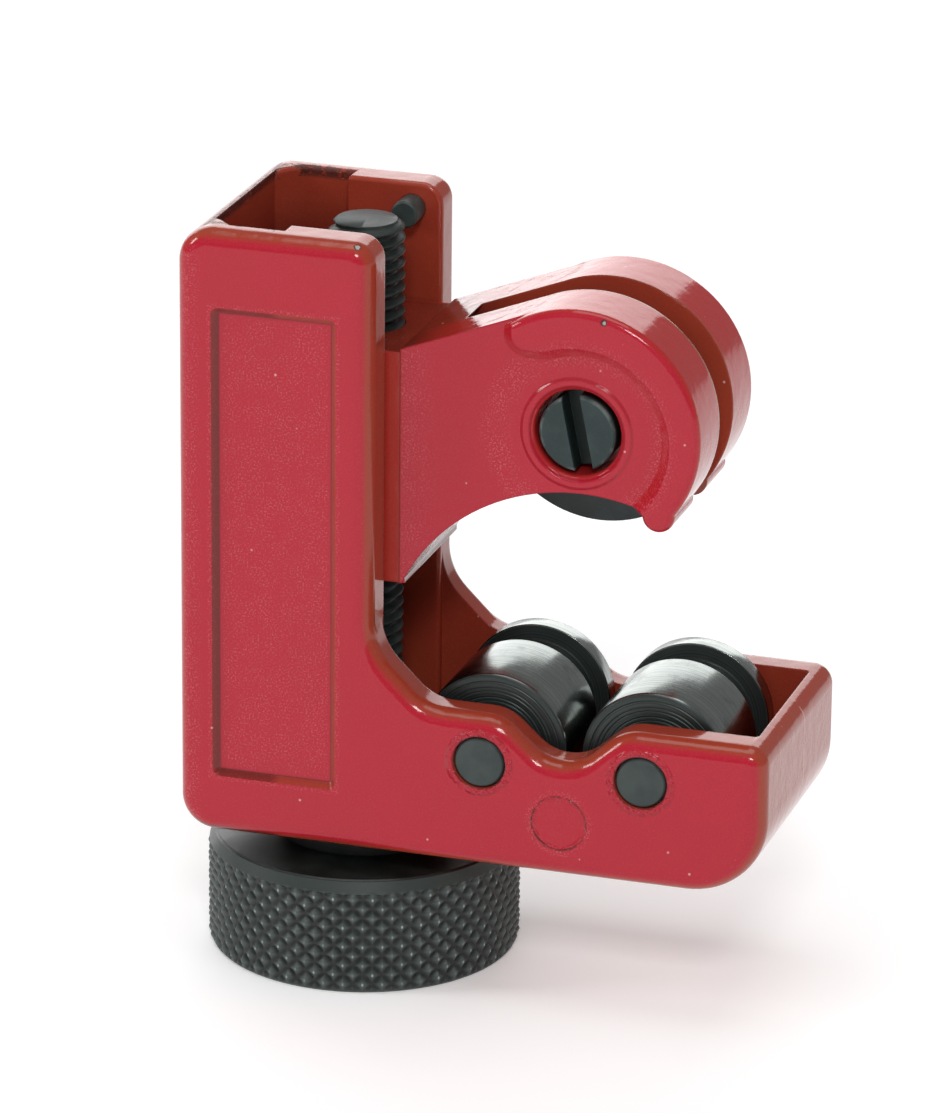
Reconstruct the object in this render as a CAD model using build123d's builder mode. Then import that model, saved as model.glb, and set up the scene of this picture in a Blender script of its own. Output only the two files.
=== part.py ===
from build123d import *
import os

# Mini tube cutter: a screw-fed carriage with a cutting wheel, above two rollers in a cast frame.
# Units are millimetres. The origin is the centre of the knob's flat end, on which the tool stands.
# +Z runs up the feed screw, +X runs to the end of the roller arm, and Y runs across the frame.

# ---- Fits ----
running_gap = 0.05
sliding_gap = 0.3
axial_gap = 0.1

# ---- Feed screw (M6 x 1), knob, washer and clip ----
screw_radius = 3.0
screw_top = 60.0
screw_end = 1.6
screw_chamfer = 0.6
knob_radius = 12.5
knob_chamfer = 0.47
knob_band = 8.2
knob_top = 9.5
knob_rim_radius = 11.95
hub_radius = 7.0
hub_top = 10.9
washer_radius = 6.4
clip_groove_radius = 2.3
clip_radius = 4.9
clip_thickness = 0.7
clip_mouth = 3.4
clip_relief = 0.6

# ---- Frame: hollow column and roller arm ----
half_width = 10.6
edge_round = 1.4
inner_round = 0.35
column_back = -12.0
column_front = 3.9
frame_top = 61.1
frame_bottom = 11.5
arm_root = 10.0
arm_end = 35.8
arm_end_bottom = 11.65
arm_top = 24.1
throat_foot = 8.3
throat_head = 28.4
dip_floor = 20.95
dip_half_floor = 1.38
dip_half_mouth = 4.88
rail_half_gap = 6.9
rail_back = -3.9
cavity_back = -9.9
cavity_half_width = 8.4
cavity_corner = 1.8
column_floor = 14.65
trough_half_width = 7.6
trough_end = 34.4
trough_floor = 13.9
trough_corner = 0.4
panel_left = -9.05
panel_right = 1.1
panel_bottom = 16.45
panel_top = 55.0
panel_depth = 0.45
panel_slope = 45
mark_radius = 2.2
mark_depth = 0.08
mark_height = 16.1

# ---- Rollers and their pins ----
pin_radius = 2.0
pin_height = 20.3
inner_pin_x = 12.86
outer_pin_x = 25.9
pin_chamfer = 0.14
pin_mouth_depth = 0.6
pin_inset = 0.05
pin_edge = 0.15
roller_radius = 5.95
roller_half_length = 6.7
roller_chamfer = 0.25
groove_start = 1.32
groove_end = 4.95
groove_radius = 4.7
groove_side = 0.3
mid_x = (inner_pin_x + outer_pin_x) / 2

# ---- Stop pin ----
stop_radius = 1.1
stop_x = 1.4
stop_z = 59.0
stop_inner_end = 4.8

# ---- Cutting wheel and its screw ----
wheel_x = 19.22
wheel_z = 46.68
wheel_radius = 9.2
wheel_hub_radius = 4.4
wheel_hub_half = 1.65
wheel_disc_half = 0.75
wheel_bevel_radius = 6.9
wheel_edge_half = 0.04
shoulder_radius = 2.4
screw_head_radius = 3.05
screw_head_face = 6.65
screw_head_seat = 3.7
screw_head_edge = 0.15
head_slot_width = 1.5
head_slot_depth = 1.9
head_slot_angle = 101.5
wheel_screw_thread_radius = 2.0
wheel_screw_end = 6.2

# ---- Slide (cutter carriage) ----
slide_bottom = 32.85
slide_top = 51.6
neck_root_z = 51.95
tongue_half_width = rail_half_gap - sliding_gap
neck_front = 5.0
flange_back = cavity_back + sliding_gap
flange_front = rail_back - 0.25
flange_half_width = cavity_half_width - sliding_gap
flange_chamfer = cavity_corner - 0.1
neck_overlap = 0.4
cheek_half_width = 6.75
rim_half_width = 7.65
head_x = 19.38
head_z = 47.0
head_radius = 9.8
rim_inner_x = 19.5
rim_inner_z = 46.45
rim_inner_radius = 7.4
rim_slope = 46
rim_left = 14.24
rim_shelf = 53.3
rim_corner = 1.0
rim_tip_z = 41.25
shelf_round = 3.0
neck_tip_x = 15.3
neck_tip_z = 55.92
underside_x = 19.6
underside_z = 25.9
underside_radius = 16.0
tip_x = 25.95
tip_z = 40.95
tip_radius = 1.28
slot_half_width = 1.92
slot_radius = 12.4
counterbore_radius = 3.45
counterbore_round = 0.5
cheek_round = 0.6
cheek_edge = 0.55

os.makedirs("parts", exist_ok=True)


def finish(builder, name):
    """Label a finished sub-part and write it to its own file."""
    builder.part.label = name
    export_step(builder.part, f"parts/{name}.step")


# ---- Voids inside the frame ----
with BuildPart() as column_void:
    with BuildSketch(Plane.XY.offset(column_floor)):
        with Locations(((cavity_back + rail_back) / 2, 0)):
            Rectangle(rail_back - cavity_back, 2 * cavity_half_width)
    extrude(amount=frame_top - column_floor + 1)
    chamfer(column_void.edges().filter_by(Axis.Z).group_by(Axis.X)[0], length=cavity_corner)
    with BuildSketch(Plane.XY.offset(column_floor)):
        with Locations(((rail_back + column_front) / 2, 0)):
            Rectangle(column_front - rail_back + 2, 2 * rail_half_gap)
    extrude(amount=frame_top - column_floor + 1)

with BuildPart() as trough_void:
    with BuildSketch(Plane.XZ):
        with BuildLine():
            FilletPolyline(
                (column_front, trough_floor),
                (trough_end, trough_floor),
                (trough_end, arm_top + 8),
                (column_front, arm_top + 8),
                radius=[3.8, 0.1],
            )
            Line((column_front, arm_top + 8), (column_front, trough_floor))
        make_face()
    extrude(amount=trough_half_width, both=True)
    end_edges = trough_void.edges().filter_by(Axis.Z).group_by(Axis.X)[-1]
    fillet(end_edges, radius=trough_corner)

# ---- Frame ----
with BuildPart() as frame:
    with BuildSketch(Plane.XZ):
        with BuildLine():
            FilletPolyline(
                (column_back, frame_bottom),
                (arm_root, frame_bottom),
                (arm_end, arm_end_bottom),
                (arm_end, arm_top),
                (mid_x + dip_half_mouth, arm_top),
                (mid_x + dip_half_floor, dip_floor),
                (mid_x - dip_half_floor, dip_floor),
                (mid_x - dip_half_mouth, arm_top),
                (throat_foot, arm_top),
                (column_front, throat_head),
                (column_front, frame_top),
                (column_back, frame_top),
                radius=[2.8, 20, 6.3, 1.6, 3.5, 3.5, 3.5, 3.5, 4, 5, 1.8, 2.8],
                close=True,
            )
        make_face()
    extrude(amount=half_width, both=True)
    side_loops = frame.edges().group_by(Axis.Y)
    fillet(side_loops[0] + side_loops[-1], radius=edge_round)
    add(column_void.part, mode=Mode.SUBTRACT)
    add(trough_void.part, mode=Mode.SUBTRACT)
    # Rounded inner lip of the column's open top
    top_edges = frame.edges().group_by(Axis.Z)[-1]
    lip_edges = [edge for edge in top_edges if abs(edge.center().Y) < cavity_half_width + 0.1]
    fillet([edge for edge in lip_edges if edge.center().X > cavity_back + 0.1], radius=inner_round)
    # Bore for the feed screw's journal
    with Locations((0, 0, column_floor)):
        Cylinder(screw_radius + running_gap, 10, mode=Mode.SUBTRACT)
    # Roller pin holes with a shallow relieved mouth at each side face
    with Locations(*[Location((x, 0, pin_height), (90, 0, 0)) for x in (inner_pin_x, outer_pin_x)]):
        Cylinder(pin_radius, 2 * half_width, mode=Mode.SUBTRACT)
    for x in (inner_pin_x, outer_pin_x):
        for y in (-half_width, half_width):
            with Locations(Location((x, y, pin_height), (90, 0, 0))):
                Cylinder(pin_radius + pin_chamfer, 2 * pin_mouth_depth, mode=Mode.SUBTRACT)
    # Stop pin hole through the rear rail
    with Locations(Location((stop_x, half_width, stop_z), (90, 0, 0))):
        Cylinder(stop_radius, 2 * (half_width - rail_half_gap) + 1, mode=Mode.SUBTRACT)
    # Label panels and faint round ejector marks, on both side faces
    for y, slope_side in ((-half_width, 1), (half_width, -1)):
        with BuildSketch(Plane.XZ.offset(-y)):
            with Locations(((panel_left + panel_right) / 2, (panel_bottom + panel_top) / 2)):
                RectangleRounded(panel_right - panel_left, panel_top - panel_bottom, 0.6)
        extrude(amount=-slope_side * panel_depth, taper=panel_slope, mode=Mode.SUBTRACT)
        with Locations(Location((mid_x, y, mark_height), (90, 0, 0))):
            Cylinder(mark_radius, 2 * mark_depth, mode=Mode.SUBTRACT)

finish(frame, "frame")

# ---- Roller pins and stop pin, pressed into the frame ----
for name, x in (("inner_roller_pin", inner_pin_x), ("outer_roller_pin", outer_pin_x)):
    with BuildPart() as pin:
        with BuildSketch(Plane.XZ.offset(-half_width + pin_inset)):
            with Locations((x, pin_height)):
                Circle(pin_radius)
        extrude(amount=2 * (half_width - pin_inset))
        chamfer(pin.edges().filter_by(GeomType.CIRCLE), length=pin_edge)
    finish(pin, name)

with BuildPart() as stop_pin:
    with BuildSketch(Plane.XZ.offset(-stop_inner_end)):
        with Locations((stop_x, stop_z)):
            Circle(stop_radius)
    extrude(amount=-(half_width - pin_inset - stop_inner_end))
    chamfer(stop_pin.edges().filter_by(GeomType.CIRCLE), length=pin_edge)

finish(stop_pin, "stop_pin")

# ---- Rollers: turned sleeves with a groove for a flared tube end ----
for name, x in (("inner_roller", inner_pin_x), ("outer_roller", outer_pin_x)):
    with BuildPart() as roller:
        with BuildSketch(Plane.XY.offset(pin_height)):
            with BuildLine():
                Polyline(
                    (x + pin_radius + running_gap, -roller_half_length),
                    (x + roller_radius, -roller_half_length),
                    (x + roller_radius, groove_start),
                    (x + groove_radius, groove_start + groove_side),
                    (x + groove_radius, groove_end - groove_side),
                    (x + roller_radius, groove_end),
                    (x + roller_radius, roller_half_length),
                    (x + pin_radius + running_gap, roller_half_length),
                    close=True,
                )
            make_face()
        revolve(axis=Axis((x, 0, pin_height), (0, 1, 0)))
        rims = roller.edges().filter_by(GeomType.CIRCLE).group_by(Axis.Y)
        chamfer(rims[0] + rims[-1], length=roller_chamfer)
    finish(roller, name)

# ---- Feed screw: threaded spindle with a clip groove, pressed into the knob ----
groove_low = column_floor + axial_gap
groove_high = groove_low + clip_thickness
with BuildPart() as feed_screw:
    with BuildSketch(Plane.XZ):
        with BuildLine():
            Polyline(
                (0, screw_end),
                (screw_radius, screw_end),
                (screw_radius, groove_low),
                (clip_groove_radius, groove_low),
                (clip_groove_radius, groove_high),
                (screw_radius, groove_high),
                (screw_radius, screw_top - screw_chamfer),
                (screw_radius - screw_chamfer, screw_top),
                (0, screw_top),
                close=True,
            )
        make_face()
    revolve(axis=Axis.Z)

finish(feed_screw, "feed_screw")

# ---- Knob: plain cylinder over the knurl crests, with a hub under the frame ----
with BuildPart() as knob:
    with BuildSketch(Plane.XZ):
        with BuildLine():
            Polyline(
                (0, 0),
                (knob_radius - knob_chamfer, 0),
                (knob_radius, knob_chamfer),
                (knob_radius, knob_band),
                (knob_rim_radius, knob_top),
                (hub_radius, knob_top),
                (hub_radius, hub_top),
                (screw_radius, hub_top),
                (screw_radius, screw_end),
                (0, screw_end),
                close=True,
            )
        make_face()
    revolve(axis=Axis.Z)

finish(knob, "knob")

# ---- Thrust washer between the knob's hub and the frame ----
with BuildPart() as thrust_washer:
    with BuildSketch(Plane.XY.offset(hub_top)):
        Circle(washer_radius)
        Circle(screw_radius + running_gap, mode=Mode.SUBTRACT)
    extrude(amount=frame_bottom - axial_gap - hub_top)

finish(thrust_washer, "thrust_washer")

# ---- Retaining clip: open ring in the screw's groove, above the column floor ----
with BuildPart() as retaining_clip:
    with BuildSketch(Plane.XY.offset(groove_low)):
        Circle(clip_radius)
        Circle(clip_groove_radius, mode=Mode.SUBTRACT)
        with Locations((-clip_radius / 2, 0)):
            Rectangle(clip_radius, clip_mouth, mode=Mode.SUBTRACT)
        with PolarLocations(clip_groove_radius + clip_relief / 2, 3, start_angle=-90, angular_range=180,
                            endpoint=True):
            Circle(clip_relief, mode=Mode.SUBTRACT)
    extrude(amount=clip_thickness)

finish(retaining_clip, "retaining_clip")

# ---- Cutting wheel: hub, thin disc and a bevelled edge ----
with BuildPart() as cutter_wheel:
    with BuildSketch(Plane.XY.offset(wheel_z)):
        with BuildLine():
            Polyline(
                (wheel_x + shoulder_radius + running_gap, -wheel_hub_half),
                (wheel_x + wheel_hub_radius, -wheel_hub_half),
                (wheel_x + wheel_hub_radius, -wheel_disc_half),
                (wheel_x + wheel_bevel_radius, -wheel_disc_half),
                (wheel_x + wheel_radius, -wheel_edge_half),
                (wheel_x + wheel_radius, wheel_edge_half),
                (wheel_x + wheel_bevel_radius, wheel_disc_half),
                (wheel_x + wheel_hub_radius, wheel_disc_half),
                (wheel_x + wheel_hub_radius, wheel_hub_half),
                (wheel_x + shoulder_radius + running_gap, wheel_hub_half),
                close=True,
            )
        make_face()
    revolve(axis=Axis((wheel_x, 0, wheel_z), (0, 1, 0)))

finish(cutter_wheel, "cutter_wheel")

# ---- Wheel screw: slotted head, shoulder and thread ----
with BuildPart() as wheel_screw:
    with BuildSketch(Plane.XY.offset(wheel_z)):
        with BuildLine():
            Polyline(
                (wheel_x, -screw_head_face),
                (wheel_x + screw_head_radius - screw_head_edge, -screw_head_face),
                (wheel_x + screw_head_radius, -screw_head_face + screw_head_edge),
                (wheel_x + screw_head_radius, -screw_head_seat),
                (wheel_x + shoulder_radius, -screw_head_seat),
                (wheel_x + shoulder_radius, slot_half_width),
                (wheel_x + wheel_screw_thread_radius, slot_half_width),
                (wheel_x + wheel_screw_thread_radius, wheel_screw_end),
                (wheel_x, wheel_screw_end),
                close=True,
            )
        make_face()
    revolve(axis=Axis((wheel_x, 0, wheel_z), (0, 1, 0)))
    with BuildSketch(Plane.XZ.offset(screw_head_face)):
        with Locations((wheel_x, wheel_z)):
            Rectangle(2.2 * screw_head_radius, head_slot_width, rotation=head_slot_angle)
    extrude(amount=-head_slot_depth, mode=Mode.SUBTRACT)

finish(wheel_screw, "wheel_screw")

# ---- Raised rims on the slide's head ----
# The rim is the head's disc, less a pocket with sloped sides that opens to the left and below.
rim_height = rim_half_width - cheek_half_width
shelf_rise = rim_shelf - rim_inner_z
shelf_end = rim_inner_x - (rim_inner_radius**2 - shelf_rise**2) ** 0.5
tip_rise = rim_inner_z - rim_tip_z
tip_side = rim_inner_x + (rim_inner_radius**2 - tip_rise**2) ** 0.5
with BuildPart() as rim:
    with BuildSketch(Plane.XZ.offset(cheek_half_width - 1)):
        with Locations((head_x, head_z)):
            Circle(head_radius)
        with Locations((underside_x, underside_z)):
            Circle(underside_radius, mode=Mode.SUBTRACT)
    extrude(amount=rim_height + 1)
    with BuildSketch(Plane.XZ.offset(rim_half_width)) as pocket:
        with BuildLine():
            Polyline(
                (shelf_end, rim_shelf),
                (rim_left, rim_shelf),
                (rim_left, head_z + 1.2 * head_radius),
                (head_x - 1.2 * head_radius, head_z + 1.2 * head_radius),
                (head_x - 1.2 * head_radius, head_z - 1.2 * head_radius),
                (tip_side, head_z - 1.2 * head_radius),
                (tip_side, rim_tip_z),
            )
            ThreePointArc(
                (tip_side, rim_tip_z),
                (rim_inner_x + rim_inner_radius, rim_inner_z),
                (shelf_end, rim_shelf),
            )
        make_face()
        # The shelf's run into the arc, and the rounded lower left corner
        fillet(pocket.vertices().sort_by_distance((shelf_end, rim_shelf))[0], radius=shelf_round)
        fillet(pocket.vertices().sort_by_distance((rim_left, rim_shelf))[0], radius=rim_corner)
    extrude(amount=-rim_height, taper=rim_slope, mode=Mode.SUBTRACT)
    crest = rim.edges().filter_by(GeomType.CIRCLE).group_by(Axis.Y)[0].sort_by(Edge.length)[-1]
    fillet(crest, radius=cheek_round)
    flat_edges = rim.edges().group_by(Axis.Y)[0]
    pocket_edges = flat_edges.filter_by(GeomType.LINE) + [
        edge for edge in flat_edges.filter_by(GeomType.CIRCLE) if edge.radius < rim_inner_radius + 0.1
    ]
    fillet(pocket_edges, radius=inner_round)
    mirror(about=Plane.XZ)

with BuildPart() as tip:
    with BuildSketch(Plane.XZ):
        with Locations((tip_x, tip_z)):
            Circle(tip_radius)
    extrude(amount=rim_half_width, both=True)
    fillet(tip.edges().filter_by(GeomType.CIRCLE), radius=cheek_round)

# ---- Slide: guide block in the column, neck, and forked head ----
with BuildPart() as slide:
    with BuildSketch(Plane.XZ):
        with BuildLine():
            Polyline(
                (neck_front, slide_bottom),
                (head_x, slide_bottom),
                (head_x, neck_tip_z),
                (neck_tip_x, neck_tip_z),
                (neck_front, neck_root_z),
                close=True,
            )
        make_face()
        with Locations((head_x, head_z)):
            Circle(head_radius)
        with Locations((underside_x, underside_z)):
            Circle(underside_radius, mode=Mode.SUBTRACT)
        with Locations((tip_x, tip_z)):
            Circle(tip_radius)
    extrude(amount=cheek_half_width, both=True)
    loops = slide.edges().group_by(Axis.Y)
    neck_lines = [loop.filter_by(GeomType.LINE).sort_by(Axis.Z)[-1] for loop in (loops[0], loops[-1])]
    fillet(neck_lines, radius=cheek_edge)
    add(rim.part)
    add(tip.part)
    # Guide block between the rails, and its flange behind them
    with BuildSketch(Plane.XY.offset(slide_bottom)):
        with BuildLine():
            Polyline(
                (neck_front + neck_overlap, 0),
                (neck_front + neck_overlap, tongue_half_width),
                (flange_front, tongue_half_width),
                (flange_front, flange_half_width),
                (flange_back + flange_chamfer, flange_half_width),
                (flange_back, flange_half_width - flange_chamfer),
                (flange_back, 0),
            )
            mirror(about=Plane.XZ)
        make_face()
    extrude(amount=slide_top - slide_bottom)
    # Slot for the wheel
    with Locations(Location((wheel_x, 0, wheel_z), (90, 0, 0))):
        Cylinder(slot_radius, 2 * slot_half_width, mode=Mode.SUBTRACT)
    # Tapped bore for the feed screw, shown as a plain bore
    with Locations((0, 0, slide_bottom)):
        Cylinder(screw_radius + running_gap, 60, mode=Mode.SUBTRACT)
    # Counterbore, shoulder hole and threaded hole of the wheel screw
    with Locations(Location((wheel_x, -screw_head_seat, wheel_z), (90, 0, 0))):
        Cylinder(counterbore_radius, 6, align=(Align.CENTER, Align.CENTER, Align.MIN), mode=Mode.SUBTRACT)
    with Locations(Location((wheel_x, 0, wheel_z), (90, 0, 0))):
        Cylinder(shoulder_radius, 2 * screw_head_seat, mode=Mode.SUBTRACT)
    with Locations(Location((wheel_x, 0, wheel_z), (-90, 0, 0))):
        Cylinder(wheel_screw_thread_radius, 10, align=(Align.CENTER, Align.CENTER, Align.MIN),
                 mode=Mode.SUBTRACT)
    # Rounded lip of the counterbore
    lip = slide.edges().filter_by(GeomType.CIRCLE).filter_by(Plane.XZ)
    lip = [edge for edge in lip if abs(edge.radius - counterbore_radius) < 0.01]
    fillet(ShapeList(lip).sort_by(Axis.Y)[0], radius=counterbore_round)

finish(slide, "slide")
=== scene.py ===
import math

import bmesh
import bpy
import numpy as np
from mathutils import Matrix, Vector


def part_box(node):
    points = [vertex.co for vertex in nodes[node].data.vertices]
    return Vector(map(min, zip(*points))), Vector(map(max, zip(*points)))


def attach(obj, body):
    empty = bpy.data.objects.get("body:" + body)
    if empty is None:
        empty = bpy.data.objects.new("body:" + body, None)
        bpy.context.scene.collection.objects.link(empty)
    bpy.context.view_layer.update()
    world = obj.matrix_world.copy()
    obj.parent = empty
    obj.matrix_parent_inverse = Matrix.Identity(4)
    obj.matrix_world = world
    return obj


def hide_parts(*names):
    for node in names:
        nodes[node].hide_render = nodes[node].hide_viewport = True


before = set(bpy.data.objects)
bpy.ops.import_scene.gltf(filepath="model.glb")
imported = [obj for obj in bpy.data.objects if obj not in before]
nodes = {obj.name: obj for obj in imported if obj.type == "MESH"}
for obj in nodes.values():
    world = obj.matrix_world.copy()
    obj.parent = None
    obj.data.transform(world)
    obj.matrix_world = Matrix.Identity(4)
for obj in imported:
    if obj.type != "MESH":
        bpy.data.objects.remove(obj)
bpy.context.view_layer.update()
MM = 0.001


def middle(name):
    """The middle of a CAD node's box."""
    low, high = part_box(name)
    return (low + high) / 2


# ---------------------------------------------------------------- places on the castings, in metres
wheel, inner_pin, outer_pin = [middle(name) for name in
                               ("cutter_wheel", "inner_roller_pin", "outer_roller_pin")]
HEAD = (wheel.x, wheel.z)
PINS_X = (inner_pin.x + outer_pin.x) / 2
PIN = ((outer_pin.x - inner_pin.x) / 2, inner_pin.z)  # on either side of PINS_X
MARK = (PINS_X, 0.0161)  # the round mould mark between the pins
PANEL = ((-0.003975, 0.035725), (0.005075, 0.019275))  # middle and half size over x and z
CAVITY = ((-0.003, 0.0), (0.0069, 0.0084))  # middle and half size over x and y
RIM = (0.0195, 0.04645)  # the middle of the hooked rim's arc
FRAME_SIDE, CHEEK_SIDE, NECK_START = 0.0106, 0.00675, 0.005


# ---------------------------------------------------------------- camera
def add_camera():
    """A long lens, a little above the tool and to the right of straight on."""
    azimuth, elevation, roll = 0.30839, 0.34779, 0.00954
    distance, across, aloft, lift = 0.5316, 0.0087, 0.0299, 0.000343
    right = Vector((math.cos(azimuth), math.sin(azimuth), 0))
    back = Vector((math.sin(azimuth) * math.cos(elevation),
                   -math.cos(azimuth) * math.cos(elevation), math.sin(elevation)))
    up = back.cross(right)
    axis_x = math.cos(roll) * right + math.sin(roll) * up
    axis_y = -math.sin(roll) * right + math.cos(roll) * up
    place = across * axis_x + aloft * axis_y + distance * back + Vector((0, 0, lift))
    data = bpy.data.cameras.new("camera")
    data.sensor_width = 36
    data.lens = 213.74
    data.clip_start = 0.01
    camera = bpy.data.objects.new("camera", data)
    bpy.context.scene.collection.objects.link(camera)
    rotation = Matrix((axis_x, axis_y, back)).transposed()
    camera.matrix_world = Matrix.Translation(place) @ rotation.to_4x4()
    bpy.context.scene.camera = camera


# ---------------------------------------------------------------- node helpers
class Graph:
    """A short way to write a node tree."""

    def __init__(self, name):
        self.material = bpy.data.materials.new(name)
        self.material.use_nodes = True
        self.tree = self.material.node_tree
        self.tree.nodes.clear()
        self.out = self.node("ShaderNodeOutputMaterial")
        self.shader = self.node("ShaderNodeBsdfPrincipled")
        self.tree.links.new(self.shader.outputs[0], self.out.inputs["Surface"])
        self.place = self.node("ShaderNodeTexCoord").outputs["Object"]

    def node(self, kind, **settings):
        made = self.tree.nodes.new(kind)
        for key, value in settings.items():
            setattr(made, key, value)
        return made

    def feed(self, socket, value):
        if isinstance(value, bpy.types.NodeSocket):
            self.tree.links.new(value, socket)
        elif value is not None:
            socket.default_value = value

    def math(self, operation, *values):
        made = self.node("ShaderNodeMath", operation=operation)
        for socket, value in zip(made.inputs, values):
            self.feed(socket, value)
        return made.outputs[0]

    def chain(self, operation, first, *others):
        """The values joined one after another by an operation on two values."""
        for other in others:
            first = self.math(operation, first, other)
        return first

    def times(self, *values):
        return self.chain("MULTIPLY", *values)

    def plus(self, *values):
        return self.chain("ADD", *values)

    def most(self, *values):
        return self.chain("MAXIMUM", *values)

    def minus(self, a, b):
        return self.math("SUBTRACT", a, b)

    def size(self, value):
        return self.math("ABSOLUTE", value)

    def vector(self, operation, a, b=None):
        """A length or distance, which is a single value."""
        made = self.node("ShaderNodeVectorMath", operation=operation)
        self.feed(made.inputs[0], a)
        self.feed(made.inputs[1], b)
        return made.outputs["Value"]

    def split(self, vector):
        made = self.node("ShaderNodeSeparateXYZ")
        self.feed(made.inputs[0], vector)
        return made.outputs

    def join(self, x, y, z):
        made = self.node("ShaderNodeCombineXYZ")
        for socket, value in zip(made.inputs, (x, y, z)):
            self.feed(socket, value)
        return made.outputs[0]

    def noise(self, scale, vector=None, detail=2.0, rough=0.5):
        made = self.node("ShaderNodeTexNoise")
        self.feed(made.inputs["Vector"], vector or self.place)
        made.inputs["Scale"].default_value = scale
        made.inputs["Detail"].default_value = detail
        made.inputs["Roughness"].default_value = rough
        return made.outputs["Fac"]

    def cells(self, scale, output="Distance"):
        made = self.node("ShaderNodeTexVoronoi")
        self.feed(made.inputs["Vector"], self.place)
        made.inputs["Scale"].default_value = scale
        return made.outputs[output]

    def ramp(self, value, low, high, to_low=0.0, to_high=1.0):
        """value from low to high becomes to_low to to_high, eased at both ends."""
        made = self.node("ShaderNodeMapRange", interpolation_type="SMOOTHSTEP", clamp=True)
        for socket, number in zip(made.inputs, (value, low, high, to_low, to_high)):
            self.feed(socket, number)
        return made.outputs[0]

    def mix(self, factor, a, b):
        made = self.node("ShaderNodeMix", data_type="RGBA")
        self.feed(made.inputs["Factor"], factor)
        for socket, value in ((made.inputs[6], a), (made.inputs[7], b)):
            self.feed(socket, (*value, 1) if isinstance(value, tuple) else value)
        return made.outputs[2]

    def bump(self, height, distance, normal=None):
        made = self.node("ShaderNodeBump")
        made.inputs["Distance"].default_value = distance
        made.inputs["Strength"].default_value = 1
        self.feed(made.inputs["Height"], height)
        self.feed(made.inputs["Normal"], normal)
        return made.outputs[0]

    def bevel(self, radius):
        made = self.node("ShaderNodeBevel", samples=6)
        made.inputs["Radius"].default_value = radius
        return made.outputs[0]

    def set(self, **values):
        for key, value in values.items():
            socket = self.shader.inputs[key.replace("_", " ")]
            is_colour = isinstance(value, tuple) and len(value) == 3
            self.feed(socket, (*value, 1) if is_colour else value)


def box_distance(g, a, b, centre, half):
    """Signed distance, over the flat, from the edge of a rectangle."""
    over_a = g.minus(g.size(g.minus(a, centre[0])), half[0])
    over_b = g.minus(g.size(g.minus(b, centre[1])), half[1])
    return g.most(over_a, over_b)


def ring_distance(g, a, b, centre, radius):
    """Signed distance from a circle."""
    far = g.vector("LENGTH", g.join(g.minus(a, centre[0]), g.minus(b, centre[1]), 0.0))
    return g.minus(far, radius)


def line(g, distance, half):
    """1 on the line where distance is nought, falling away to 0 at half on either side."""
    return g.ramp(g.size(distance), half, half * 0.25)


def blot(g, centre, radius):
    """A ragged spot: its dark broken edge, and the bare metal inside."""
    wander = g.times(g.minus(g.noise(2600, detail=2), 0.5), radius * 1.4)
    far = g.plus(g.vector("DISTANCE", g.place, centre), wander)
    return g.ramp(far, radius * 1.15, radius), g.ramp(far, radius * 0.8, radius * 0.65)


# ---------------------------------------------------------------- red enamel on the castings
# Painted shade: the first colour is a browner copy of the front red, laid on faces turned away from the
# front.
SHADED_SIDE_RED, FRONT_RED, DEEP_RED = (0.42, 0.020, 0.020), (0.43, 0.009, 0.026), (0.36, 0.012, 0.016)
# Painted shade: the first colour below is the brown of sheltered faces, the second the dark of crevices.
SHELTERED_SHADE_RED, CREVICE_SHADE_RED, CHIP_EDGE = (0.33, 0.046, 0.022), (0.09, 0.008, 0.010), (0.07, 0.016, 0.012)
GRAIN_PINK, SEAM_PINK, DUST_PINK = (0.60, 0.17, 0.19), (0.75, 0.40, 0.38), (0.72, 0.42, 0.40)
BARE_METAL = (0.38, 0.35, 0.33)


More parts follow.
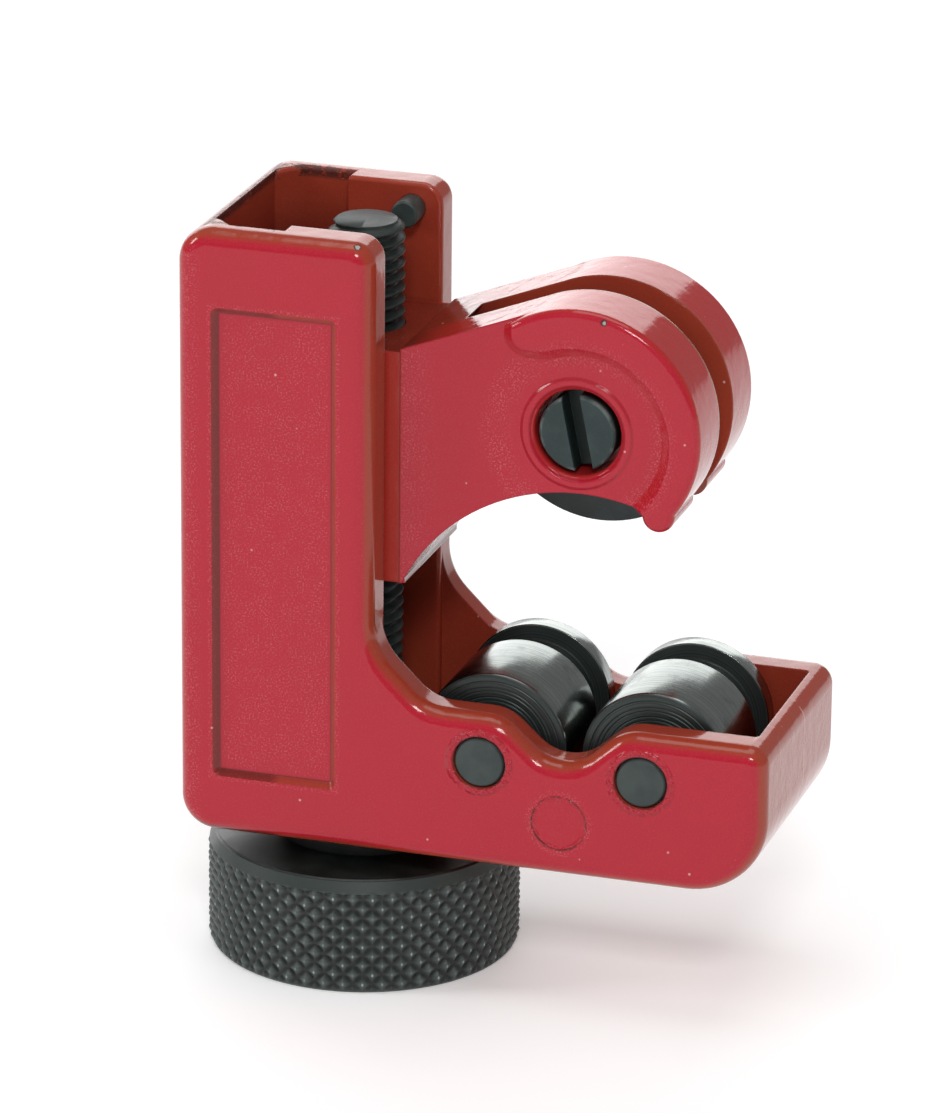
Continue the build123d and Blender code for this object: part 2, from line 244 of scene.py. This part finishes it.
def enamel(name, side, start, inner, sheltered_shade, crevices, speckle, chips, lips):
    """Thick glossy red stoving enamel on a casting, with dust, fine speckle and a few chips, and painted
    shade on its side faces, sheltered faces and crevices.

    side: how far the flat sides stand from the middle plane, and start: where along x they begin.
    inner: 1 on the sheltered faces, which take a painted shade: the brown colour given by the argument
    after it.
    crevices: 1 in the foot of a step, where a dark painted shade is laid. speckle: 1 where pale grain
    shows in the coat; on the frame it also draws a painted highlight line just outside the panel's edge.
    chips: 1 where the coat has broken away. lips: height of the paint's own raised rings.
    """
    g = Graph(name)
    x, y, z = g.split(g.place)
    facing = g.split(g.node("ShaderNodeTexCoord").outputs["Normal"])[1]
    front = g.ramp(g.times(facing, y), side * 0.6, side * 0.92)
    front = g.times(front, g.ramp(x, start, start + 0.0002))
    cloud = g.noise(130, detail=3)
    grain = g.noise(6800, detail=2, rough=0.6)
    # Painted shade: faces turned away from the front take the browner side red.
    coat = g.mix(front, SHADED_SIDE_RED, FRONT_RED)
    # Painted shade: sheltered faces turned away from the front take a brown shade colour.
    coat = g.mix(g.times(inner(g, x, y, z), g.minus(1.0, front)), coat, sheltered_shade(g, x, y, z))
    coat = g.mix(g.ramp(cloud, 0.35, 0.65, 0.0, 0.12), coat, DEEP_RED)

    patches = g.ramp(g.noise(700, detail=2), 0.35, 0.6, 0.35, 1.0)
    much = g.times(speckle(g, x, y, z), front, patches)
    show = g.times(g.ramp(grain, 0.5, 0.66), g.plus(g.times(much, 0.36), 0.06))
    coat = g.mix(show, coat, GRAIN_PINK)
    seam = g.times(line(g, g.minus(y, 0.0009), 0.00013), g.ramp(x, 0.0352, 0.0357))
    coat = g.mix(g.times(seam, 0.7), coat, SEAM_PINK)
    # Painted shade: crevices take a dark red.
    coat = g.mix(g.times(crevices(g, x, y, z), front, 0.75), coat, CREVICE_SHADE_RED)

    few = g.ramp(g.split(g.cells(560, output="Color"))[0], 0.66, 0.68)
    dust = g.times(g.ramp(g.cells(560), 0.075, 0.035), few, g.ramp(g.noise(240, detail=1), 0.42, 0.55))
    coat = g.mix(g.times(dust, 0.75), coat, DUST_PINK)
    edge, bare = chips(g, x, y, z)
    coat = g.mix(edge, coat, CHIP_EDGE)
    coat = g.mix(bare, coat, BARE_METAL)

    peel = g.noise(620, detail=2, rough=0.5)
    normal = g.bump(peel, 0.00005, normal=g.bevel(0.00022))
    relief = g.plus(grain, g.times(g.plus(dust, g.times(seam, 3.0)), 5.0))
    normal = g.bump(relief, 0.000005, normal=normal)
    normal = g.bump(g.times(lips(g, x, y, z), front), 0.0002, normal=normal)
    worn = g.most(edge, bare)
    normal = g.bump(g.times(worn, g.noise(6000, detail=2)), -0.00008, normal=normal)
    rough = g.plus(g.ramp(cloud, 0.3, 0.7, 0.07, 0.12), g.times(worn, 0.4))
    g.set(Base_Color=coat, Roughness=rough, Normal=normal, Specular_IOR_Level=0.28, Coat_Weight=0.2,
          Coat_Roughness=0.03)
    return g.material


# Each function of (g, x, y, z) below is a mask that enamel lays over a casting, made from the place
# on it in metres; it takes all three coordinates, whether it needs them or not.
def beside_pins(g, x, z, radius):
    """Signed distance from a circle of that radius round either roller pin."""
    return ring_distance(g, g.size(g.minus(x, PINS_X)), z, PIN, radius)


# Where the frame takes its painted shade: every face to the right of its left end.
def frame_inner(g, x, y, z):
    return g.ramp(x, -0.0112, -0.0104)


def frame_sheltered_shade(g, x, y, z):
    """Painted shade: brown on the sheltered faces, and nearly black down inside the column's cavity."""
    deep = g.times(g.ramp(z, 0.0598, 0.0535), g.ramp(x, -0.0034, -0.0044))
    return g.mix(g.times(deep, 0.8), SHELTERED_SHADE_RED, (0.07, 0.010, 0.008))


# Painted shade goes in the foot of the panel's step, round the mould mark and round the roller pins.
def frame_crevices(g, x, y, z):
    foot = line(g, g.plus(box_distance(g, x, z, *PANEL), 0.0004), 0.00022)
    mark = line(g, ring_distance(g, x, z, MARK, 0.0022), 0.00014)
    mark = g.times(mark, g.ramp(g.noise(1800, detail=2), 0.4, 0.55))
    return g.most(foot, mark, line(g, beside_pins(g, x, z, 0.00207), 0.00018))


def frame_speckle(g, x, y, z):
    away = box_distance(g, x, z, *PANEL)
    panel = g.ramp(away, -0.0006, -0.0009, 0.0, 0.75)
    # A painted highlight: a line of pale grain just outside the panel's edge.
    border_highlight = line(g, g.minus(away, 0.00015), 0.0003)
    mark = line(g, ring_distance(g, x, z, MARK, 0.0024), 0.0005)
    left = g.ramp(x, -0.0097, -0.0106, 0.0, 0.9)
    return g.most(panel, border_highlight, mark, left)


def frame_chips(g, x, y, z):
    """The worn lip of the column's cavity, and a chip at the top front corner."""
    wander = g.times(g.minus(g.noise(1500, detail=3, rough=0.7), 0.5), 0.0022)
    lip = line(g, g.plus(box_distance(g, x, y, *CAVITY), wander), 0.00045)
    lip = g.times(lip, g.ramp(z, 0.0600, 0.0605), g.ramp(x, -0.0032, -0.0042))
    edge, bare = blot(g, (0.0026, -0.0099, 0.0608), 0.00026)
    return g.most(edge, g.times(lip, 0.9)), bare


def frame_lips(g, x, y, z):
    pins = line(g, beside_pins(g, x, z, 0.00242), 0.00042)
    mark = line(g, ring_distance(g, x, z, MARK, 0.0021), 0.00025)
    ragged = g.ramp(g.noise(1500, detail=2), 0.35, 0.6, 0.15, 1.0)
    return g.times(g.plus(pins, g.times(mark, 0.4)), ragged)


# Where the slide takes its painted shade: the wheel's slot, and the neck fading out by x = 10 mm.
def slide_inner(g, x, y, z):
    slot = g.ramp(g.size(y), 0.0024, 0.0021)
    return g.most(slot, g.ramp(x, 0.0100, 0.0045))


def slide_sheltered_shade(g, x, y, z):
    """Painted shade: brown in the wheel's slot, dark between the rails, and a redder shade on the
    tongue's own sides.
    """
    deep = g.mix(g.ramp(x, 0.0120, 0.0060), SHELTERED_SHADE_RED, (0.17, 0.022, 0.012))
    return g.mix(g.ramp(g.size(y), 0.0062, 0.0065), deep, (0.37, 0.030, 0.020))


# Painted shade goes in the gap round the wheel screw's head.
def slide_crevices(g, x, y, z):
    return g.times(line(g, ring_distance(g, x, z, HEAD, 0.00352), 0.00012), 0.6)


def slide_speckle(g, x, y, z):
    rail = g.ramp(x, 0.0085, 0.0055, 0.0, 0.9)
    return g.most(rail, line(g, ring_distance(g, x, z, RIM, 0.0068), 0.0016))


def slide_chips(g, x, y, z):
    return blot(g, (0.0215, -0.0075, 0.0561), 0.00024)


def slide_lips(g, x, y, z):
    return line(g, ring_distance(g, x, z, HEAD, 0.0041), 0.0005)


# ---------------------------------------------------------------- steel
def phosphate(name, low, high, head=None, shine=0.4):
    """Oiled black phosphate on steel, from low to high in tone.

    head: centre, radius and face height of a slotted head, pale at its rim and darkened in its slot by
    painted shade.
    """
    g = Graph(name)
    cloud = g.noise(420, detail=4, rough=0.6)
    grain = g.noise(9000, detail=3, rough=0.7)
    colour = g.mix(g.ramp(cloud, 0.35, 0.7), low, high)
    colour = g.mix(g.ramp(grain, 0.58, 0.75, 0.0, 0.4), colour, (0.09, 0.115, 0.11))
    if head:
        centre, radius, face = head
        x, y, z = g.split(g.place)
        rim = line(g, ring_distance(g, x, z, centre, radius), 0.0002)
        rim = g.times(rim, g.ramp(cloud, 0.4, 0.6), 0.6)
        colour = g.mix(rim, colour, (0.16, 0.20, 0.19))
        # Painted shade: below the head's face, in the slot, the colour goes near black.
        colour = g.mix(g.ramp(y, face + 0.0002, face + 0.0006), colour, (0.004, 0.011, 0.010))
    normal = g.bump(grain, 0.00001, normal=g.bevel(0.0001))
    g.set(Base_Color=colour, Roughness=g.ramp(cloud, 0.3, 0.7, 0.32, 0.48), Normal=normal,
          Specular_IOR_Level=shine)
    return g.material


def knurl_finish(name):
    """Black phosphate rubbed pale on the crests of a knurl, with a painted highlight along its upper
    edge, and painted shade darkening its furrows and the top under the frame.
    """
    g = Graph(name)
    cloud = g.noise(420, detail=4, rough=0.6)
    grain = g.noise(9000, detail=3, rough=0.7)
    crest = g.node("ShaderNodeAttribute", attribute_name="crest").outputs["Fac"]
    # Painted shade: low values of the crest layer, in the furrows and on the top, go near black.
    colour = g.mix(g.ramp(crest, 0.1, 0.9), (0.005, 0.008, 0.007), (0.070, 0.092, 0.084))
    colour = g.mix(g.ramp(cloud, 0.35, 0.7, 0.0, 0.4), colour, (0.022, 0.031, 0.028))
    # The pale rub also carries the painted highlight row along the knurl's upper edge.
    rub = g.times(g.ramp(crest, 0.84, 0.98), g.ramp(cloud, 0.4, 0.6, 0.15, 0.95))
    colour = g.mix(rub, colour, (0.34, 0.39, 0.37))
    colour = g.mix(g.ramp(grain, 0.58, 0.75, 0.0, 0.35), colour, (0.09, 0.115, 0.105))
    g.set(Base_Color=colour, Roughness=g.ramp(cloud, 0.3, 0.7, 0.3, 0.42),
          Normal=g.bump(grain, 0.00001), Specular_IOR_Level=0.45)
    return g.material


def ground_steel(name, centre):
    """A turned steel sleeve: black oxide on the ends and in the groove, ground bright outside."""
    g = Graph(name)
    x, y, z = g.split(g.place)
    radius = g.vector("LENGTH", g.join(g.minus(x, centre[0]), 0.0, g.minus(z, centre[1])))
    skin = (0.00582, 0.0059)
    ground = g.ramp(radius, *skin)
    cloud = g.noise(500, detail=4, rough=0.65)
    rings = g.noise(9000, g.join(radius, 0.0, 0.0), detail=3, rough=0.7)
    lines = g.noise(7000, g.join(y, g.times(cloud, 0.0002), 0.0), detail=3, rough=0.75)
    bright = g.mix(g.ramp(lines, 0.35, 0.65), (0.21, 0.23, 0.22), (0.31, 0.335, 0.32))
    bright = g.mix(g.times(g.ramp(cloud, 0.54, 0.7), 0.45), bright, (0.14, 0.155, 0.148))
    oxide = g.mix(g.ramp(rings, 0.35, 0.7), (0.018, 0.026, 0.025), (0.075, 0.092, 0.088))
    marks = g.plus(g.times(lines, ground), g.times(rings, 1.6))
    rough = g.plus(g.times(ground, -0.16), g.ramp(cloud, 0.3, 0.7, 0.31, 0.39))
    g.set(Base_Color=g.mix(ground, oxide, bright), Metallic=g.ramp(radius, *skin, 0.55, 1.0),
          Roughness=rough, Normal=g.bump(marks, 0.000003, normal=g.bevel(0.00008)))
    return g.material


def paint(name, material):
    slots = nodes[name].data.materials
    slots.clear()
    slots.append(material)


# ---------------------------------------------------------------- pieces, in millimetres
def add_piece(name, body, material, vertices, faces, smooth_angle, stands_for):
    """A mesh piece in millimetres that rides on body in place of a CAD node."""
    mesh = bpy.data.meshes.new(name)
    mesh.from_pydata((np.asarray(vertices) * MM).tolist(), [], faces)
    work = bmesh.new()
    work.from_mesh(mesh)
    bmesh.ops.recalc_face_normals(work, faces=work.faces)
    work.to_mesh(mesh)
    work.free()
    mesh.shade_smooth()
    mesh.set_sharp_from_angle(angle=math.radians(smooth_angle))
    mesh.materials.append(material)
    piece = bpy.data.objects.new(name, mesh)
    bpy.context.scene.collection.objects.link(piece)
    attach(piece, body)
    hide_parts(stands_for)
    return piece


def ring_faces(rows, columns):
    """Quads between rows of points that each go all the way round."""
    faces = []
    for i in range(rows - 1):
        for j in range(columns):
            k = (j + 1) % columns
            faces.append((i * columns + j, i * columns + k, (i + 1) * columns + k, (i + 1) * columns + j))
    return faces


def capped(rings):
    """Vertices and faces of a closed skin through rings of points, with a centre point at each end."""
    rows, columns = rings.shape[:2]
    vertices = np.concatenate([rings.reshape(-1, 3), rings[0].mean(0)[None], rings[-1].mean(0)[None]])
    faces = ring_faces(rows, columns)
    low, high, last = rows * columns, rows * columns + 1, (rows - 1) * columns
    for j in range(columns):
        k = (j + 1) % columns
        faces.append((k, j, low))
        faces.append((last + j, last + k, high))
    return vertices, faces


def around_z(radius, height, columns):
    """Rings round the Z axis from a grid of radii and a column of heights."""
    turn = np.linspace(0, 2 * np.pi, columns, endpoint=False)[None]
    return np.stack([radius * np.cos(turn), radius * np.sin(turn), height + 0 * turn], -1)


def spindle(material):
    """The M6 x 1 feed screw: journal, clip groove, right-hand thread and chamfered end."""
    radius, pitch, columns = 3.0, 1.0, 64
    foot, top = 1.6, 60.0
    clip_low, clip_high, clip_radius = 14.745, 15.445, 2.3
    thread_start, run_out, thread_depth = 16.2, 1.2, 0.6
    crest_share, flank_share = 0.14, 0.6
    step = 0.005
    plain = [foot, foot + 2 * step, clip_low - step, clip_low + step, clip_high - step, clip_high + step]
    threaded = list(np.arange(15.5, top, pitch / 14))
    height = np.array(plain + threaded + [top])[:, None]
    turn = np.linspace(0, 1, columns, endpoint=False)[None]
    phase = (height / pitch - turn) % 1
    valley = np.clip((np.abs(2 * phase - 1) - crest_share) / flank_share, 0, 1)
    depth = thread_depth * np.clip((height - thread_start) / run_out, 0, 1)
    grid = radius - depth * valley
    grid = np.where((height > clip_low) & (height < clip_high), clip_radius, grid)
    grid = np.minimum(grid, radius - 1.1 * (height - (top - 0.55)))
    vertices, faces = capped(around_z(grid, height, columns))
    return add_piece("threaded_spindle", "feed", material, vertices, faces, 50, "feed_screw")


def knurled_knob(material):
    """The feed knob: diamond knurl, plain upper band, turned top and hub."""
    radius, around, per_diamond, pitch = 12.5, 50, 12, 1.6
    foot_chamfer, knurl_top, shoulder, knurl_depth = 0.47, 8.5, 9.4, 0.36
    # The second tone is a painted shade for the knob's top, dish and hub, which sit under the frame.
    plain_tone, dish_shade = 0.45, 0.1
    columns = around * per_diamond
    knurl = np.arange(foot_chamfer, knurl_top + 0.1, pitch / per_diamond)
    height = np.concatenate([[0, 0.2], knurl, np.linspace(8.65, shoulder, 6)])[:, None]

    turn = np.arange(columns)[None] / per_diamond
    one, two = (turn + height / pitch) % 1, (turn - height / pitch) % 1
    crest = np.minimum(1 - np.abs(2 * one - 1), 1 - np.abs(2 * two - 1))
    crest = np.clip(crest / 0.9, 0, 1)
    angle = turn * 2 * np.pi / around
    uneven = knurl_depth + 0.02 * np.sin(3 * angle + 1.3) + 0.012 * np.sin(7 * angle)
    fade = np.clip((knurl_top - height) / 0.2, 0, 1) * np.clip((height - 0.2) / 0.25, 0, 1)
    skin = radius - uneven * fade * (1 - crest)
    band = radius - 0.5 * np.clip(height - 8.2, 0, None) / 1.3
    skin = np.minimum(skin, band)
    skin = np.minimum(skin, radius - foot_chamfer + height)

    # height and radius over the turned top, the dish and the hub
    rest = np.array([[shoulder, 11.9], [9.5, 11.78], [9.5, 7.2], [9.55, 7.02], [10.85, 7.0], [10.9, 6.9],
                     [10.9, 2.9]])
    rings = np.concatenate([around_z(skin, height, columns),
                            around_z(rest[:, 1:], rest[:, :1], columns)])
    vertices, faces = capped(rings)
    piece = add_piece("knurled_knob", "feed", material, vertices, faces, 32, "knob")
    # The crest layer holds painted shade (furrows and the top under the frame), rubbed wear on the crests
    # and a painted highlight row.
    tone = np.full(len(vertices), plain_tone)
    # A painted highlight: a pale row on the crests along the knurl's upper edge.
    glint_row = np.clip(1 - np.abs(height - 8.4) / 0.13, 0, 1) * crest
    tone[:crest.size] = (crest * fade + plain_tone * (1 - fade) + 0.5 * glint_row).ravel()
    tone[crest.size + columns:] = dish_shade
    shade_wear_and_glint = piece.data.attributes.new("crest", "FLOAT", "POINT")
    shade_wear_and_glint.data.foreach_set("value", tone.astype(np.float32))
    return piece


def roller_sleeve(name, material):
    """A turned sleeve: faced ends with tool rings, chamfers and the flare groove."""
    centre = np.array(middle(name)) / MM
    half, outer, bore, columns = 6.7, 5.95, 2.06, 128
    floor_radius, start, end, slope, lip = 4.7, 1.28, 4.98, 0.32, 0.05

    # radius and depth below the end face, from the bore out to the chamfer
    face = [(bore, 0.0)]
    for ring in (2.55, 2.95, 3.2, 3.75, 4.05, 4.5, 4.8, 5.3):
        face += [(ring - 0.07, 0.0), (ring, -0.07), (ring + 0.05, 0.0)]
    face += [(5.68, 0.0), (5.78, -0.03), (outer - 0.03, -0.2), (outer, -0.27)]

    front = [(r, -half - d) for r, d in face]
    wall = [(outer, 0.0), (outer - 0.04, lip), (floor_radius + 0.06, slope), (floor_radius, slope + 0.08)]
    groove = [(r, start + d) for r, d in wall]
    groove += [(floor_radius, end - 0.38), (floor_radius + 0.06, end - 0.3), (outer - 0.04, end - lip),
               (outer, end)]
    back = [(r, half + d) for r, d in reversed(face)]
    profile = np.array(front + groove + back)
    turn = np.linspace(0, 2 * np.pi, columns, endpoint=False)[None]
    r, y = profile[:, :1], profile[:, 1:]
    rings = np.stack([centre[0] + r * np.cos(turn), y + 0 * turn, centre[2] + r * np.sin(turn)], -1)
    rows = len(profile)
    faces = ring_faces(rows, columns)
    last = (rows - 1) * columns
    faces += [(last + j, last + (j + 1) % columns, (j + 1) % columns, j) for j in range(columns)]
    return add_piece(f"turned_{name}", name, material, rings.reshape(-1, 3), faces, 24, name)


def soft_casting(name, node, body, material):
    """A casting with the CAD node's own faces, whose remaining sharp edges are rounded."""
    mesh = bpy.data.meshes.new(name)
    work = bmesh.new()
    work.from_mesh(nodes[node].data)
    bmesh.ops.remove_doubles(work, verts=work.verts, dist=2e-6)
    bmesh.ops.dissolve_limit(work, angle_limit=math.radians(0.5), verts=work.verts, edges=work.edges)
    bmesh.ops.recalc_face_normals(work, faces=work.faces)
    work.to_mesh(mesh)
    work.free()
    mesh.materials.clear()
    mesh.materials.append(material)
    piece = bpy.data.objects.new(name, mesh)
    bpy.context.scene.collection.objects.link(piece)
    mesh.shade_smooth()
    bevel = piece.modifiers.new("edge", "BEVEL")
    bevel.limit_method = "ANGLE"
    bevel.angle_limit = math.radians(33)
    bevel.width = 0.22 * MM
    bevel.segments = 3
    bevel.use_clamp_overlap = True
    even = piece.modifiers.new("even", "WEIGHTED_NORMAL")
    even.mode = "FACE_AREA"
    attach(piece, body)
    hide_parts(node)
    return piece


def add_castings():
    soft_casting("cast_frame", "frame", "frame",
                 enamel("red_enamel_frame", FRAME_SIDE, -1.0, frame_inner, frame_sheltered_shade, frame_crevices,
                        frame_speckle, frame_chips, frame_lips))
    soft_casting("cast_slide", "slide", "carriage",
                 enamel("red_enamel_slide", CHEEK_SIDE, NECK_START, slide_inner, slide_sheltered_shade,
                        slide_crevices, slide_speckle, slide_chips, slide_lips))


def add_steel():
    black = phosphate("black_phosphate", (0.026, 0.038, 0.036), (0.044, 0.060, 0.056))
    for name in ("stop_pin", "inner_roller_pin", "outer_roller_pin", "thrust_washer", "retaining_clip"):
        paint(name, black)
    slotted_head = (HEAD, 0.00294, -0.00665)
    paint("wheel_screw", phosphate("dark_phosphate", (0.012, 0.026, 0.026), (0.026, 0.043, 0.042),
                                   slotted_head))
    paint("cutter_wheel", phosphate("wheel_phosphate", (0.020, 0.030, 0.031), (0.032, 0.046, 0.047)))
    spindle(phosphate("thread_phosphate", (0.016, 0.022, 0.021), (0.034, 0.045, 0.042), shine=0.2))
    knurled_knob(knurl_finish("black_knurl"))
    for name in ("inner_roller", "outer_roller"):
        centre = middle(name)
        roller_sleeve(name, ground_steel(f"ground_steel_{name}", (centre.x, centre.z)))


# ---------------------------------------------------------------- floor and light
def add_floor():
    g = Graph("floor_paper")
    colour = g.mix(g.noise(6, detail=3), (0.89, 0.89, 0.89), (0.91, 0.91, 0.91))
    g.set(Base_Color=colour, Roughness=0.7, Specular_IOR_Level=0.2, Emission_Color=colour,
          Emission_Strength=0.22)
    mesh = bpy.data.meshes.new("floor")
    reach = 4
    corners = [(-reach, -reach, 0), (reach, -reach, 0), (reach, reach, 0), (-reach, reach, 0)]
    mesh.from_pydata(corners, [], [(0, 1, 2, 3)])
    mesh.materials.append(g.material)
    floor = bpy.data.objects.new("floor", mesh)
    bpy.context.scene.collection.objects.link(floor)


def add_light(name, place, target, width, height, radiance):
    """A rectangular softbox at place that faces target, of the same brightness at any size."""
    data = bpy.data.lights.new(name, "AREA")
    data.shape = "RECTANGLE"
    data.size, data.size_y = width, height
    data.energy = math.pi * width * height * radiance
    light = bpy.data.objects.new(name, data)
    bpy.context.scene.collection.objects.link(light)
    place, target = Vector(place), Vector(target)
    light.matrix_world = (Matrix.Translation(place)
                          @ (place - target).to_track_quat("Z", "Y").to_matrix().to_4x4())


def add_world():
    """An even pale studio."""
    world = bpy.data.worlds.new("studio")
    world.use_nodes = True
    background = world.node_tree.nodes["Background"]
    background.inputs["Color"].default_value = (1, 1, 1, 1)
    background.inputs["Strength"].default_value = 0.3
    bpy.context.scene.world = world


def add_lights():
    tool = (0.01, 0, 0.03)
    add_light("backdrop", (-0.55, 1.15, 0.5), (0, 0, 0.1), 1.7, 0.9, 2.1)
    add_light("key_softbox", (0.25, -0.72, 0.62), tool, 0.22, 0.17, 25)
    add_light("left_softbox", (-0.85, -0.35, 0.5), tool, 0.2, 0.3, 12)
    add_light("front_fill", (0.15, -1.0, 0.9), tool, 1.6, 1.1, 0.15)
    add_light("top_softbox", (0.0, 0.0, 1.1), tool, 0.7, 0.7, 2.4)


add_camera()
add_castings()
add_steel()
add_floor()
add_world()
add_lights()
bpy.context.scene.view_settings.view_transform = "Standard"
